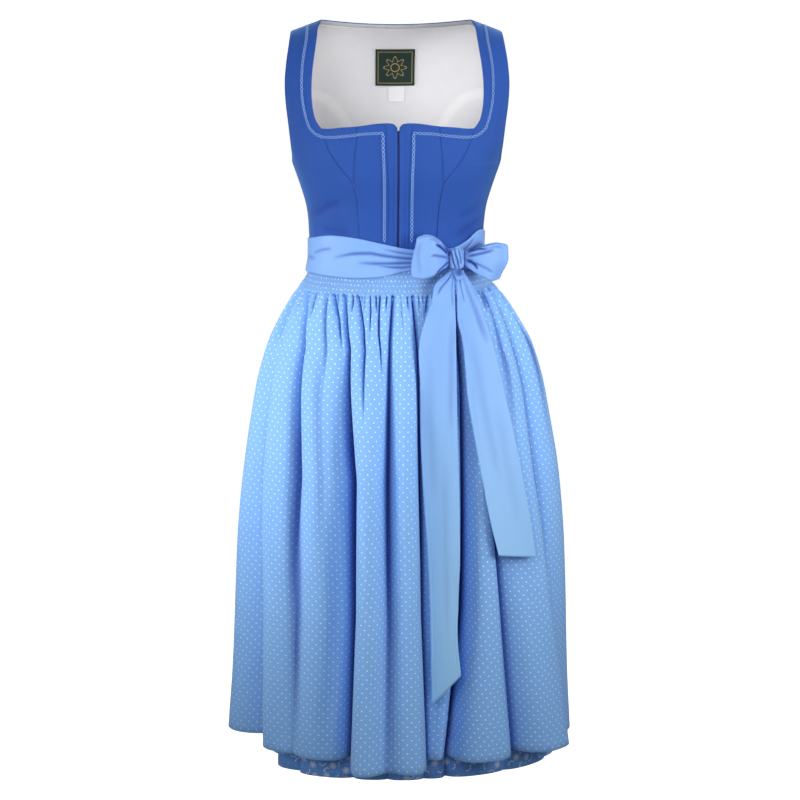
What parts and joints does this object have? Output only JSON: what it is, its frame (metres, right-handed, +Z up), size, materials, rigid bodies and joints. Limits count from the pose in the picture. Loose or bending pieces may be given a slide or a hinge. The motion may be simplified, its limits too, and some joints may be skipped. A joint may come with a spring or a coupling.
{
  "type": "dirndl dress",
  "caption": "Sleeveless dirndl dress with a fitted zipped bodice, square braid-trimmed neckline, gathered skirt, dotted apron and a sash tied in a bow.",
  "frame": {"origin": "middle of the shoulder line, level with the top of the shoulder seams, where the wearer's shoulders hold the dress up", "axes": "+Z up from the hem to the shoulders, -Y out of the dress's front, +X towards the wearer's left side, where the bow is tied"},
  "size_m": [0.5042, 0.4292, 1.0649],
  "materials": {
    "bodice_twill": "smooth royal blue cotton twill",
    "lining_white": "plain white cotton lining",
    "apron_cotton": "light blue cotton with white pin dots",
    "skirt_print": "mid blue cotton with small white flowers and leaves",
    "sash_satin": "light blue satin-weave cotton with a soft sheen",
    "braid": "pale blue twisted braid",
    "label_weave": "dark green woven label, bare of words and crest",
    "zip_tape": "dark blue woven tape"
  },
  "bodies": {
    "root": {"apron": "apron_cotton", "back_center": "bodice_twill", "bow_knot": "sash_satin", "bow_loop_left": "sash_satin", "bow_loop_right": "sash_satin", "bow_tail_left": "sash_satin", "bow_tail_right": "sash_satin", "bow_under_loop": "sash_satin", "braid_left": "braid", "braid_right": "braid", "bust_wedge_left": "bodice_twill", "bust_wedge_right": "bodice_twill", "care_label": "lining_white", "front_center_left": "bodice_twill", "front_center_right": "bodice_twill", "label": "label_weave", "lining_back": "lining_white", "placket_left": "bodice_twill", "placket_right": "bodice_twill", "sash_band": "sash_satin", "side_back_left": "bodice_twill", "side_back_right": "bodice_twill", "side_front_left": "bodice_twill", "side_front_right": "bodice_twill", "skirt_back": "skirt_print", "skirt_front": "skirt_print", "zip_tape": "zip_tape"}
  },
  "joints": []
}
